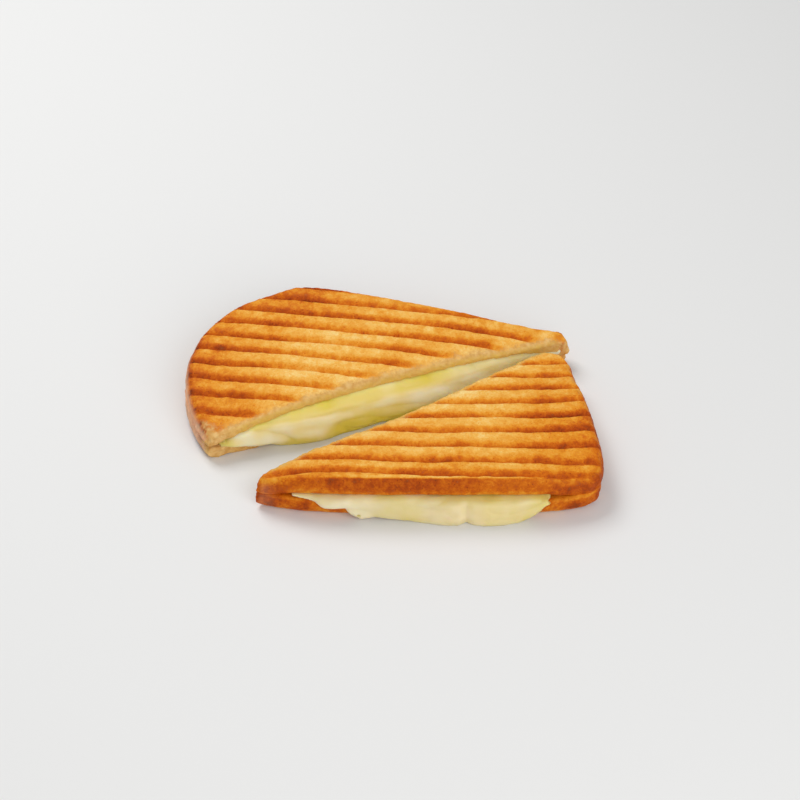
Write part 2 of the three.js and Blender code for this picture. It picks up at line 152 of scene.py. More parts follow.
class LatticeNoise:
    """Smooth random relief from a seeded block of values that repeats through space."""

    SIZE = 32

    def __init__(self, seed: int) -> None:
        """Draws the block of values.

        Args:
            seed: Picks the block, so that each run gives the same relief.
        """
        self._values = np.random.default_rng(seed).uniform(-1.0, 1.0, (self.SIZE,) * 3)

    def at(self, points: Points, cell: float) -> Measure:
        """Relief between -1 and 1 with bumps about one cell wide.

        Args:
            points: Places, one row each.
            cell: Width of a bump.

        Returns:
            The relief at each place.
        """
        scaled = points / cell
        base = np.floor(scaled).astype(int)
        t = scaled - base
        t = t * t * (3.0 - 2.0 * t)
        total = np.zeros(len(points))
        for corner in np.ndindex(2, 2, 2):
            weight = np.prod(np.where(np.array(corner) == 1, t, 1.0 - t), axis=1)
            i, j, k = ((base + corner) % self.SIZE).T
            total += weight * self._values[i, j, k]
        return total

    def layered(self, points: Points, cell: float, layers: int) -> Measure:
        """Relief with finer bumps laid over coarse ones.

        Args:
            points: Places, one row each.
            cell: Width of the coarsest bumps.
            layers: How many sizes of bump, each half as wide and half as high as the last.

        Returns:
            The relief at each place.
        """
        total = np.zeros(len(points))
        for layer in range(layers):
            offset = 17.3 * layer
            total += self.at(points + offset, cell * 0.5**layer) * 0.5**layer
        return total


class PoreField:
    """Round pores of uneven size, one to each cell of space."""

    SIZE = 24

    def __init__(self, seed: int) -> None:
        """Draws the pores' places and sizes.

        Args:
            seed: Picks them, so that each run gives the same pores.
        """
        draw = np.random.default_rng(seed)
        self._places = draw.uniform(0.15, 0.85, (self.SIZE,) * 3 + (3,))
        self._radii = draw.uniform(0.16, 0.62, (self.SIZE,) * 3)

    def at(self, points: Points, cell: float) -> Measure:
        """How deep each place lies in a pore.

        Args:
            points: Places, one row each.
            cell: Spacing of the pores.

        Returns:
            0 outside the pores and up to 1 in their middles.
        """
        scaled = points / cell
        base = np.floor(scaled).astype(int)
        deepest = np.zeros(len(points))
        for step in np.ndindex(3, 3, 3):
            cells = base + np.array(step) - 1
            i, j, k = (cells % self.SIZE).T
            reach = np.linalg.norm(scaled - cells - self._places[i, j, k], axis=1)
            deepest = np.maximum(deepest, 1.0 - (reach / self._radii[i, j, k]) ** 2)
        return deepest


@dataclass(frozen=True)
class Half:
    """Where a half of the sandwich lies, told in the frame of the uncut slice with X along its ridges.

    Attributes:
        label: First word of the names of its nodes.
        turn: Angle that the half was turned by, in radians.
        cut_facing: Direction out of its cut in the slice's frame.
        lean: Slope of its ridges.
        bends: How far they turn back, and between which x.
        rolled: Distances from the cut, with the height that the upper slice has lost there.
        crumb_width: How far from the cut the crumb shows on top of the upper slice.
        lower_lip: How far the lower slice's crust closes the slit between the slices.
        groove_end: How far from the cut the grooves start to fade.
        hot_spots: Where the press toasted it more, or less.
        pivot: Point of the slice that a half turns about.
        origin: The row's origin in the slice's frame.
    """

    label: str
    turn: float
    cut_facing: tuple[float, float]
    lean: float
    bends: tuple[tuple[float, float, float], ...]
    rolled: tuple[tuple[float, float], ...]
    crumb_width: float
    lower_lip: float
    groove_end: float
    hot_spots: tuple[Spot, ...]
    pivot: tuple[float, float] = (70.0, 18.0)
    origin: tuple[float, float] = (-5.128, -15.231)

    @property
    def is_front(self) -> bool:
        """Whether this is the half in front."""
        return self.label == "front"

    def in_slice(self, points: Points) -> Points:
        """Moves points of the row's frame into the slice's frame.

        Args:
            points: Places in millimetres, one row each.

        Returns:
            The same places in the uncut slice.
        """
        moved = points.copy()
        x = points[:, 0] + self.origin[0] - self.pivot[0]
        y = points[:, 1] + self.origin[1] - self.pivot[1]
        cos, sin = math.cos(-self.turn), math.sin(-self.turn)
        moved[:, 0] = x * cos - y * sin + self.pivot[0]
        moved[:, 1] = x * sin + y * cos + self.pivot[1]
        return moved

    def turned_back(self, vectors: Points) -> Points:
        """Turns directions of the row's frame into the slice's frame.

        Args:
            vectors: Directions, one row each.

        Returns:
            The same directions in the uncut slice.
        """
        cos, sin = math.cos(-self.turn), math.sin(-self.turn)
        moved = vectors.copy()
        moved[:, 0] = vectors[:, 0] * cos - vectors[:, 1] * sin
        moved[:, 1] = vectors[:, 0] * sin + vectors[:, 1] * cos
        return moved


@dataclass(frozen=True)
class RidgeField:
    """The grill's grooves, which run along X in the slice's frame.

    Attributes:
        pitch: Spacing of the grooves.
        first_y: Middle of the first groove.
        drift: How far a groove wanders off its line.
        lean_start: Where leaning ridges are on their lines.
        front_groove: Number of the groove along the front crust.
        front_closer: How much closer that groove lies to the next.
        seed_step: Tells the underside's grooves from the top's.
        packed_depth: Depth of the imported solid's grooves.
        unevenness: Share by which that depth comes and goes.
        packed_profile: Shares of the pitch from a groove's middle, with the share of the depth there.
        depth: Depth of the real grooves.
        far_wall: Width of the wall behind a groove's middle, which slopes up gently.
        near_wall: Width of the steep wall in front of it.
        shoulder: How roundly the walls pass into the crest.
    """

    pitch: float = 9.3
    first_y: float = -83.8
    drift: float = 0.35
    lean_start: float = -64.6
    front_groove: int = 1
    front_closer: float = 1.3
    seed_step: int = 15
    packed_depth: float = 1.8
    unevenness: float = 0.16
    packed_profile: tuple[tuple[float, float], ...] = (
        (-0.5, 0.0),
        (-0.145, 0.02),
        (-0.07, 0.4),
        (0.0, 1.0),
        (0.12, 0.52),
        (0.31, 0.04),
        (0.5, 0.0),
    )
    depth: float = 1.9
    far_wall: float = 2.9
    near_wall: float = 1.35
    shoulder: float = 1.6

    @staticmethod
    def waver(s: Measure, seed: Measure) -> Measure:
        """Slow unevenness along a line, between -1 and 1.

        Args:
            s: Places along the line.
            seed: Picks the course at each place.

        Returns:
            The unevenness at each place.
        """
        return 0.62 * np.sin(s * 0.071 + seed * 2.4) + 0.38 * np.sin(s * 0.173 + seed * 5.1)

    def distance(self, places: Points, half: Half, level: Level) -> tuple[Measure, Measure]:
        """Distance of each place from the middle of the nearest groove.

        Args:
            places: Places in the slice's frame.
            half: The half that they belong to.
            level: The slice, which picks the top's or the underside's grooves.

        Returns:
            Distances, negative in front of the groove, and the grooves' numbers.
        """
        x, y = places[:, 0], places[:, 1]
        shift = half.lean * (x - self.lean_start)
        for back, start, end in half.bends:
            shift = shift + back * ease(start, end, x)
        groove = np.round((y - self.first_y - shift) / self.pitch)
        shift = shift + np.where(groove == self.front_groove, self.front_closer, 0.0)
        seed = groove + (self.seed_step if level is Level.LOWER else 0)
        middle = self.first_y + groove * self.pitch + self.drift * self.waver(x, seed) + shift
        return y - middle, groove

    def packed(self, x: Measure, gap: Measure, groove: Measure) -> Measure:
        """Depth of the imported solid's grooves on top.

        Args:
            x: Places along the grooves.
            gap: Distances from the nearest groove.
            groove: The grooves' numbers.

        Returns:
            The depth at each place.
        """
        shares, sinks = zip(*self.packed_profile)
        sink = np.interp(gap / self.pitch, shares, sinks)
        return self.packed_depth * sink * self._uneven(x, groove)

    def carved(self, x: Measure, gap: Measure, groove: Measure) -> Measure:
        """Depth of the real grooves, steep in front and gentle behind.

        Args:
            x: Places along the grooves.
            gap: Distances from the nearest groove.
            groove: The grooves' numbers.

        Returns:
            The depth at each place.
        """
        wall = np.where(gap > 0.0, self.far_wall, self.near_wall)
        share = np.clip(1.0 - np.abs(gap) / wall, 0.0, 1.0) ** self.shoulder
        return self.depth * share * self._uneven(x, groove)

    def _uneven(self, x: Measure, groove: Measure) -> Measure:
        """Returns the share of its depth that each groove has at x."""
        return 1.0 + self.unevenness * self.waver(x, groove + 2 * self.seed_step)


class FineMesh:
    """A fine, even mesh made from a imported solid, with its points at hand in millimetres."""

    def __init__(self, node: str, name: str, voxel: float, soften: int) -> None:
        """Makes the mesh.

        Args:
            node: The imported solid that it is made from.
            name: Name of the new piece.
            voxel: Width of a face.
            soften: How many times corners are softened.
        """
        solid = bpy.data.objects[node]
        rough = bpy.data.objects.new(name + "_rough", solid.data.copy())
        bpy.context.scene.collection.objects.link(rough)
        even = rough.modifiers.new("even", "REMESH")
        even.mode = "VOXEL"
        even.voxel_size = voxel * MM
        smooth = rough.modifiers.new("soften", "SMOOTH")
        smooth.factor = 0.5
        smooth.iterations = soften
        graph = bpy.context.evaluated_depsgraph_get()
        mesh = bpy.data.meshes.new_from_object(rough.evaluated_get(graph))
        bpy.data.objects.remove(rough)
        mesh.name = name
        mesh.materials.clear()
        self.piece = bpy.data.objects.new(name, mesh)
        bpy.context.scene.collection.objects.link(self.piece)

    def points(self) -> Points:
        """Reads the places of all points.

        Returns:
            The places, in millimetres.
        """
        flat = np.empty(len(self.piece.data.vertices) * 3, np.float32)
        self.piece.data.vertices.foreach_get("co", flat)
        return flat.reshape(-1, 3).astype(float) / MM

    def normals(self) -> Points:
        """Reads which way the surface faces at all points.

        Returns:
            Outward directions of length 1.
        """
        flat = np.empty(len(self.piece.data.vertices) * 3, np.float32)
        self.piece.data.vertex_normals.foreach_get("vector", flat)
        return flat.reshape(-1, 3).astype(float)

    def move(self, points: Points) -> None:
        """Puts all points at new places.

        Args:
            points: The places, in millimetres.
        """
        self.piece.data.vertices.foreach_set("co", (points * MM).astype(np.float32).ravel())
        self.piece.data.update()

    def thin(self, hidden: Measure, keep: float) -> None:
        """Leaves fewer faces where nothing shows.

        Args:
            hidden: Which points lie hidden.
            keep: Share of the faces there that is kept.
        """
        group = self.piece.vertex_groups.new(name="hidden")
        group.add(np.flatnonzero(hidden).tolist(), 1.0, "REPLACE")
        fewer = self.piece.modifiers.new("fewer", "DECIMATE")
        fewer.ratio = 1.0 - (1.0 - keep) * float(np.mean(hidden))
        fewer.vertex_group = group.name
        graph = bpy.context.evaluated_depsgraph_get()
        mesh = bpy.data.meshes.new_from_object(self.piece.evaluated_get(graph))
        self.piece.modifiers.clear()
        self.piece.vertex_groups.clear()
        self.piece.data = mesh

    def smooth(self, rounds: int, where: Measure) -> None:
        """Smooths the mesh.

        Args:
            rounds: How many times each point moves towards its neighbours.
            where: Share of the move at each point.
        """
        points = self.points()
        blurred = np.stack([self.spread(axis, rounds) for axis in points.T], axis=1)
        self.move(points + (blurred - points) * where[:, None])

    def spread(self, values: Measure, rounds: int) -> Measure:
        """Blurs a measure over neighbouring points.

        Args:
            values: The measure at each point.
            rounds: How many times it is averaged along the edges.

        Returns:
            The blurred measure.
        """
        mesh = self.piece.data
        ends = np.empty(len(mesh.edges) * 2, np.int32)
        mesh.edges.foreach_get("vertices", ends)
        a, b = ends.reshape(-1, 2).T
        count = np.bincount(ends, minlength=len(values)) + 1.0
        for _ in range(rounds):
            total = values.copy()
            total += np.bincount(a, values[b], len(values)) + np.bincount(b, values[a], len(values))
            values = total / count
        return values

    def keep(self, name: str, values: Measure) -> None:
        """Keeps a measure on the mesh, for the finish to read.

        Args:
            name: Name of the measure.
            values: Its value at each point.
        """
        attribute = self.piece.data.attributes.new(name, "FLOAT", "POINT")
        attribute.data.foreach_set("value", values.astype(np.float32))

    def finish(self, material: bpy.types.Material, node: str, slot: str) -> bpy.types.Object:
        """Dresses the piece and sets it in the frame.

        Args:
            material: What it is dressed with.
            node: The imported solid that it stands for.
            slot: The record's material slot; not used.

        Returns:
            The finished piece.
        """
        mesh = self.piece.data
        mesh.materials.append(material)
        mesh.shade_smooth()
        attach(self.piece, BODY)
        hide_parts(node)
        triangles = sum(len(face.vertices) - 2 for face in mesh.polygons)
        log.info("%s: %d triangles for %s", self.piece.name, triangles, node)
        return self.piece


class Recipe:
    """A small hand for laying out the nodes of a material."""

    GRAIN_LOW = 0.3
    GRAIN_HIGH = 0.7

    def __init__(self, name: str) -> None:
        """Starts a material with its shader and output.

        Args:
            name: Name of the material.
        """
        self.material = bpy.data.materials.new(name)
        self.material.use_nodes = True
        self.tree = self.material.node_tree
        self.tree.nodes.clear()
        self.shader = self.tree.nodes.new("ShaderNodeBsdfPrincipled")
        output = self.tree.nodes.new("ShaderNodeOutputMaterial")
        self.tree.links.new(self.shader.outputs["BSDF"], output.inputs["Surface"])
        self._place = self.tree.nodes.new("ShaderNodeTexCoord").outputs["Object"]

    def put(self, socket: bpy.types.NodeSocket, value: object) -> None:
        """Sets a socket to a value, or joins it to another node's output.

        Args:
            socket: The socket to set.
            value: A number, a colour or an output socket.
        """
        if isinstance(value, bpy.types.NodeSocket):
            self.tree.links.new(value, socket)
        else:
            socket.default_value = value

    def measure(self, name: str) -> bpy.types.NodeSocket:
        """Returns a measure that the mesh keeps.

        Args:
            name: Name of the measure.

        Returns:
            The measure's output.
        """
        node = self.tree.nodes.new("ShaderNodeAttribute")
        node.attribute_name = name
        return node.outputs["Fac"]

    def grain(self, width: float, detail: float = 2.0, rough: float = 0.5) -> bpy.types.NodeSocket:
        """Returns fine random relief from 0 to 1.

        Args:
            width: Width of a bump.
            detail: How many finer layers lie over it.
            rough: How strong those are.

        Returns:
            The relief's output.
        """
        node = self.tree.nodes.new("ShaderNodeTexNoise")
        self.put(node.inputs["Vector"], self._place)
        self.put(node.inputs["Scale"], 1.0 / (width * MM))
        self.put(node.inputs["Detail"], detail)
        self.put(node.inputs["Roughness"], rough)
        return node.outputs["Fac"]

    def sum(self, kind: str, a: object, b: object, clamp: bool = False) -> bpy.types.NodeSocket:
        """Returns two values put together.

        Args:
            kind: What is done with them, such as ADD or MULTIPLY.
            a: First value.
            b: Second value.
            clamp: Whether the result is kept from 0 to 1.

        Returns:
            The result's output.
        """
        node = self.tree.nodes.new("ShaderNodeMath")
        node.operation = kind
        node.use_clamp = clamp
        self.put(node.inputs[0], a)
        self.put(node.inputs[1], b)
        return node.outputs["Value"]

    def spanned(
        self, value: object, low: float, high: float, start: float = 0.0, end: float = 1.0
    ) -> bpy.types.NodeSocket:
        """Returns a value carried smoothly from one range to another.

        Args:
            value: The value.
            low: Where the first range starts.
            high: Where it ends.
            start: What low becomes.
            end: What high becomes.

        Returns:
            The new value's output.
        """
        node = self.tree.nodes.new("ShaderNodeMapRange")
        node.interpolation_type = "SMOOTHSTEP"
        sockets = ("Value", "From Min", "From Max", "To Min", "To Max")
        for socket, number in zip(sockets, (value, low, high, start, end)):
            self.put(node.inputs[socket], number)
        return node.outputs["Result"]

    def grained(self, grain: object, start: float, end: float) -> bpy.types.NodeSocket:
        """Returns fine relief carried to a range, so that nearly all of it lies between start and end.

        Args:
            grain: The relief, from 0 to 1 and mostly near the middle.
            start: What its low parts become.
            end: What its high parts become.

        Returns:
            The new relief's output.
        """
        return self.spanned(grain, self.GRAIN_LOW, self.GRAIN_HIGH, start, end)

    def blend(self, share: object, first: object, second: object, kind: str = "MIX") -> bpy.types.NodeSocket:
        """Returns two colours blended.

        Args:
            share: Share of the second colour.
            first: First colour.
            second: Second colour.
            kind: How they blend.

        Returns:
            The blended colour's output.
        """
        node = self.tree.nodes.new("ShaderNodeMix")
        node.data_type = "RGBA"
        node.blend_type = kind
        self.put(node.inputs["Factor"], share)
        self.put(node.inputs[6], first)
        self.put(node.inputs[7], second)
        return node.outputs[2]

    def scale(self, value: object, stops: list[tuple[float, tuple[int, int, int]]]) -> bpy.types.NodeSocket:
        """Returns the colour that a value has on a scale of colours.

        Args:
            value: The value, from 0 to 1.
            stops: Places on the scale with their colours as a screen shows them.

        Returns:
            The colour's output.
        """
        node = self.tree.nodes.new("ShaderNodeValToRGB")
        ramp = node.color_ramp
        while len(ramp.elements) < len(stops):
            ramp.elements.new(0.5)
        for element, (place, colour) in zip(ramp.elements, stops):
            element.position = place
            element.color = linear(*colour)
        self.put(node.inputs["Fac"], value)
        return node.outputs["Color"]

    def relief(self, height: object, depth: float) -> None:
        """Gives the shader fine relief.

        Args:
            height: The relief, from 0 to 1.
            depth: How deep it is.
        """
        node = self.tree.nodes.new("ShaderNodeBump")
        self.put(node.inputs["Distance"], depth * MM)
        self.put(node.inputs["Height"], height)
        self.tree.links.new(node.outputs["Normal"], self.shader.inputs["Normal"])

    def coat(self, **settings: object) -> None:
        """Sets the shader's own sockets.

        Args:
            **settings: Values by socket name, with _ for each space.
        """
        for name, value in settings.items():
            self.put(self.shader.inputs[name.replace("_", " ")], value)


@dataclass(frozen=True)
class ToastFinish:
    """Toasted bread: a scale from pale to dark crust, and open crumb at the cuts.

    Attributes:
        name: Name of the material.
        stops: How the crust darkens as it toasts.
        crumb_pale: Crumb where it catches the light.
        crumb_deep: Painted shade of the crumb, as in its pores.
        edge: Crumb along the cut, olive-yellow where the cheese soaks it, with the slit's shade painted in.
        side: Crust on the sides of the loaf.
    """

    name: str = "toasted_bread"
    stops: tuple[tuple[float, tuple[int, int, int]], ...] = (
        (0.0, (252, 218, 140)),
        (0.22, (244, 184, 84)),
        (0.42, (232, 150, 38)),
        (0.6, (212, 110, 10)),
        (0.78, (182, 76, 4)),
        (1.0, (120, 44, 8)),
    )
    crumb_pale: tuple[int, int, int] = (234, 192, 124)
    crumb_deep: tuple[int, int, int] = (212, 160, 88)
    edge: tuple[int, int, int] = (222, 178, 82)
    side: tuple[int, int, int] = (252, 204, 164)

    def material(self) -> bpy.types.Material:
        """Lays out the material.

        Returns:
            The material.
        """
        recipe = Recipe(self.name)
        mottle = recipe.grain(3.4, 3.0, 0.6)
        fine = recipe.grain(0.9, 3.0, 0.6)
        # The toasting measure also carries painted light and shade, written in as paler and darker toasting.
        toast_and_painted_light = recipe.sum("ADD", recipe.measure("toast_and_painted_light"), recipe.grained(mottle, -0.08, 0.08))
        toast_and_painted_light = recipe.sum("ADD", toast_and_painted_light, recipe.grained(fine, -0.055, 0.055))
        specks = recipe.spanned(recipe.grain(0.8, 1.0), 0.64, 0.74, 0.0, 0.15)
        toast_and_painted_light = recipe.sum("ADD", toast_and_painted_light, specks, True)
        crust = recipe.scale(toast_and_painted_light, list(self.stops))
        worn = recipe.sum("MULTIPLY", recipe.measure("side"), recipe.grained(mottle, 0.75, 1.1))
        crust = recipe.blend(worn, crust, linear(*self.side))
        # Crumb mottled at random between its painted highlight and its painted shade.
        pale = recipe.grained(recipe.grain(2.2, 3.0), 0.0, 1.0)
        crumb = recipe.blend(pale, linear(*self.crumb_deep), linear(*self.crumb_pale))
        # Crumb along the cut: the cheese's soaking with the painted shade of the slit.
        soaked_and_shaded = recipe.sum("MULTIPLY", recipe.measure("edge"), recipe.grained(mottle, 0.45, 1.0))
        crumb = recipe.blend(soaked_and_shaded, crumb, linear(*self.edge))
        ragged = recipe.measure("crumb")
        for relief in (mottle, fine):
            ragged = recipe.sum("ADD", ragged, recipe.grained(relief, -0.14, 0.14))
        open_share = recipe.spanned(ragged, 0.1, 0.85)
        recipe.coat(
            Base_Color=recipe.blend(open_share, crust, crumb),
            Roughness=recipe.grained(fine, 0.5, 0.66),
            Specular_IOR_Level=0.12,
            Subsurface_Weight=0.08,
            Subsurface_Scale=0.002,
        )
        recipe.shader.inputs["Subsurface Radius"].default_value = (1.0, 0.6, 0.3)
        recipe.relief(recipe.sum("ADD", fine, recipe.grain(0.32, 2.0)), 0.16)
        return recipe.material


@dataclass(frozen=True)
class CheeseFinish:
    """Melted cheese: soft, a little glossy, with light passing into it.

    Attributes:
        name: Name of the material.
        white: Painted highlight on the cheese's swells, and its whiter patches.
        cream: Its cream tone, between the painted highlight and its own yellow.
        yellow: Its own yellow.
        green: Greener yellow of painted shade under the bread, low down and in its creases.
        pit: Painted shade inside small holes.
    """

    name: str
    white: tuple[int, int, int]
    cream: tuple[int, int, int]
    yellow: tuple[int, int, int]
    green: tuple[int, int, int]
    pit: tuple[int, int, int] = (120, 84, 28)

    def material(self) -> bpy.types.Material:
        """Lays out the material.

        Returns:
            The material.
        """
        recipe = Recipe(self.name)
        cloud = recipe.grain(9.0, 2.0)
        # This measure carries the cheese's tint with painted light and shade: whitish where lit, greener
        # where shaded.
        shade = recipe.sum("ADD", recipe.measure("shade"), recipe.grained(cloud, -0.06, 0.06))
        tints = (self.white, self.cream, self.yellow, self.green, self.pit)
        colour = recipe.scale(shade, list(zip((0.0, 0.26, 0.5, 0.8, 1.0), tints)))
        recipe.coat(
            Base_Color=colour,
            Roughness=0.34,
            Specular_IOR_Level=0.4,
            Subsurface_Weight=0.5,
            Subsurface_Scale=0.004,
            Coat_Weight=0.15,
            Coat_Roughness=0.25,
        )
        recipe.shader.inputs["Subsurface Radius"].default_value = (1.0, 0.72, 0.3)
        recipe.relief(recipe.grain(2.6, 2.0), 0.1)
        return recipe.material


@dataclass(frozen=True)
class FloorFinish:
    """Plain pale floor.

    Attributes:
        name: Name of the material.
        colour: Its colour.
    """

    name: str = "pale_floor"
    colour: tuple[int, int, int] = (232, 232, 231)

    def material(self) -> bpy.types.Material:
        """Lays out the material.

        Returns:
            The material.
        """
        recipe = Recipe(self.name)
        recipe.coat(Base_Color=linear(*self.colour), Roughness=0.55, Specular_IOR_Level=0.2)
        return recipe.material


@dataclass
class BreadSlice:
    """One slice of bread of one half.

    Attributes:
        half: The half that it belongs to.
        level: Lower or upper slice.
        ridges: The grill's grooves.
        finish: Its material.
        voxel: Width of the mesh's faces.
        soften: How many times the corners are softened.
        buried: How far from the cut and the crust the cheese covers all.
        hidden_share: Share of the faces kept there.
        roll_width: How far from the cut the upper slice rolls down.
        roll_drop: How far it rolls down.
        lip: How far the upper slice's crust closes the slit.
        seam: Height where the slices' crusts meet.
        pebble: Height of the toasted skin's bumps.
        pore_cell: Spacing of the crumb's pores.
        pore_depth: Depth of the largest.
        even_toast: How toasted it is on the whole.
        groove_browning_and_shade: How much more toasted its grooves are, with painted shade on the wall
            behind each groove, which faces the front.
        wall_toast: How much more toasted its sides are.
        pinched: Where the grooves fade, with the share of their depth that is lost.
        corner: The back half's left-hand corner.
        tip: The back half's tip, where the halves meet.
        tip_drop: How far the upper slice hangs down there.
        tip_lumps: Height of the crumb's lumps there.
        tip_crust: Where crust is left on that crumb.
        open_corners: Middle and width of the back half's corners with open crumb.
    """

    half: Half
    level: Level
    ridges: RidgeField
    finish: bpy.types.Material
    voxel: float = 0.46
    soften: int = 2
    buried: float = 6.0
    hidden_share: float = 0.08
    roll_width: float = 4.0
    roll_drop: float = 0.8
    lip: float = 0.6
    seam: float = 8.5
    pebble: float = 0.13
    pore_cell: float = 1.6
    pore_depth: float = 0.3
    even_toast: float = 0.33
    groove_browning_and_shade: float = 0.23
    wall_toast: float = 0.3
    pinched: tuple[Spot, ...] = (
        Spot(84.0, -74.0, 20.0, 0.75),
        Spot(-66.0, -72.0, 16.0, 0.5),
        Spot(-84.0, -50.0, 14.0, 0.4),
    )
    corner: Spot = Spot(-76.0, -62.0, 5.0)
    tip: Spot = Spot(72.0, 18.0, 6.0)
    tip_drop: Spot = Spot(71.0, 17.0, 8.0, 3.0)
    tip_lumps: Spot = Spot(73.0, 17.0, 6.0, 0.7)
    tip_crust: Spot = Spot(72.0, 21.0, 3.5, 0.85)
    open_corners: tuple[tuple[float, float, float], ...] = ((-77.5, -59.0, 8.0), (73.0, 15.5, 3.5))

    @property
    def node(self) -> str:
        """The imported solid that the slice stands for."""
        return f"{self.half.label}_half_{self.level.value}_bread"

    @property
    def name(self) -> str:
        """The finished piece's name."""
        return f"{self.half.label}_{self.level.value}_slice"

    def build(self) -> bpy.types.Object:
        """Makes the slice.

        Returns:
            The finished piece.
        """
        mesh = FineMesh(self.node, self.name, self.voxel, 0)
        self._measure(mesh)
        inside = (self._cut > self.buried) & (self._rim > self.buried)
        mesh.thin((self._outer < -0.7) & inside, self.hidden_share)
        self._measure(mesh)
        if self.level is Level.UPPER:
            self._carve(mesh)
            self._roll(mesh)
        else:
            mesh.smooth(self.soften, np.ones(len(self._cut)))
        self._close(mesh)
        self._sculpt(mesh)
        self._judge(mesh)
        return mesh.finish(self.finish, self.node, "toasted_bread")

    def _measure(self, mesh: FineMesh) -> None:
        """Works out how far each point lies from the cut, the crust and the nearest groove.

        Args:
            mesh: The slice's mesh.
        """
        places = self.half.in_slice(mesh.points())
        facing = self.half.turned_back(mesh.normals())
        out = np.array(self.half.cut_facing)
        along = np.array([-out[1], out[0]])
        on_cut = facing[:, :2] @ out > 0.86
        upright = np.abs(facing[:, 2]) < 0.45
        self._cut = self._edge_distance(places, on_cut & upright, out, along)
        rim = upright & ~on_cut & (self._cut > 2.0)
        self._rim = nearest(places, places[rim])
        front = upright & (facing[:, 1] < -0.8) & (places[:, 1] < -60.0)
        self._front = np.full(len(places), np.inf)
        if front.any() and self.half.is_front:
            self._front = self._edge_distance(places, front, np.array([0.0, -1.0]), np.array([1.0, 0.0]))
        self._gap, self._number = self.ridges.distance(places, self.half, self.level)
        self._outer = facing[:, 2] if self.level is Level.UPPER else -facing[:, 2]
        self._places = places

    @staticmethod
    def _edge_distance(places: Points, chosen: Measure, out: Points, along: Points) -> Measure:
        """Distance from an edge, such as the cut, measured across it.

        Args:
            places: All places in the slice's frame.
            chosen: Which of them lie on the edge.
            out: Direction out of the edge.
            along: Direction along it.

        Returns:
            The distance of each place.
        """
        station = np.round(places[chosen][:, :2] @ along).astype(int)
        reach = places[chosen][:, :2] @ out
        stations = np.unique(station)
        edge = np.array([np.median(reach[station == s]) for s in stations])
        width = 5
        padded = np.pad(edge, width // 2, mode="edge")
        edge = np.convolve(padded, np.ones(width) / width, mode="valid")
        return np.interp(places[:, :2] @ along, stations, edge) - places[:, :2] @ out

    def _carve(self, mesh: FineMesh) -> None:
        """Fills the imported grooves, smooths the top and carves the real grooves into it.

        Args:
            mesh: The slice's mesh.
        """
        x = self._places[:, 0]
        top = ease(0.3, 0.6, self._outer) * ease(0.2, 2.2, self._rim)
        distances, drops = zip(*self.half.rolled)
        sunk = self.ridges.packed(x, self._gap, self._number) - np.interp(self._cut, distances, drops)
        points = mesh.points()
        points[:, 2] += top * np.maximum(sunk, 0.0)
        mesh.move(points)
        mesh.smooth(self.soften, np.ones(len(x)))
        mesh.smooth(6, top * ease(0.5, 3.0, self._cut))
        points = mesh.points()
        noise = LatticeNoise(3)
        gap = self._gap + 0.22 * noise.at(self._places, 5.0) + 0.1 * noise.at(self._places, 1.7)
        groove = self.ridges.carved(x, gap, self._number) * self._groove_strength()
        points[:, 2] -= top * groove
        mesh.move(points)

    def _groove_strength(self) -> Measure:
        """Works out how deep the grooves are, which fade at the cut and at pinched corners.

        Returns:
            The share of a groove's full depth at each point.
        """
        strength = ease(-0.5, self.half.groove_end, self._cut)
        for spot in self.pinched:
            strength = strength * (1.0 - spot.at(self._places))
        return strength

    def _roll(self, mesh: FineMesh) -> None:
        """Presses the upper slice down along its cut, where the knife went through.

        Args:
            mesh: The slice's mesh.
        """
        points = mesh.points()
        highest = points[:, 2].max()
        top = ease(highest - 6.5, highest - 2.5, points[:, 2])
        near = np.clip(1.0 - self._cut / self.roll_width, 0.0, 1.0)
        points[:, 2] -= top * self.roll_drop * near**2
        mesh.move(points)

    def _close(self, mesh: FineMesh) -> None:
        """Brings the slices' crusts together where no cheese runs out between them.

        Args:
            mesh: The slice's mesh.
        """
        points = mesh.points()
        x, y = self._places[:, 0], self._places[:, 1]
        near = ease(6.0, 2.5, self._rim)
        if self.half.is_front:
            near = near * (1.0 - ease(-50.0, -44.0, x) * ease(66.0, 62.0, x) * ease(-58.0, -66.0, y))
            ends = near * (ease(-47.0, -56.0, x) + ease(68.0, 75.0, x))
            drop = np.zeros(len(x))
        else:
            ends = self.tip.at(self._places) + self.corner.at(self._places)
            drop = self.tip_drop.at(self._places)
        if self.level is Level.LOWER:
            lift = self.half.lower_lip * near + 0.5 * ends + 0.1 * drop
            points[:, 2] += lift * ease(4.5, 8.0, points[:, 2])
        else:
            points[:, 2] -= (self.lip * near + 0.5 * ends) * ease(14.5, 11.0, points[:, 2])
            points[:, 2] -= drop * ease(14.0, 10.5, points[:, 2])
            hanging = ease(1.2, -0.4, self._cut) * ease(15.5, 12.5, points[:, 2])
            points[:, 2] += 1.1 * hanging * LatticeNoise(17).layered(self._places, 9.0, 2)
        outward = mesh.normals()
        outward[:, 2] = 0.0
        seam = ease(2.0, 0.2, np.abs(points[:, 2] - self.seam)) * near
        points += outward * (0.8 * seam * (1.0 + 0.5 * LatticeNoise(19).at(self._places, 3.0)))[:, None]
        mesh.move(points)

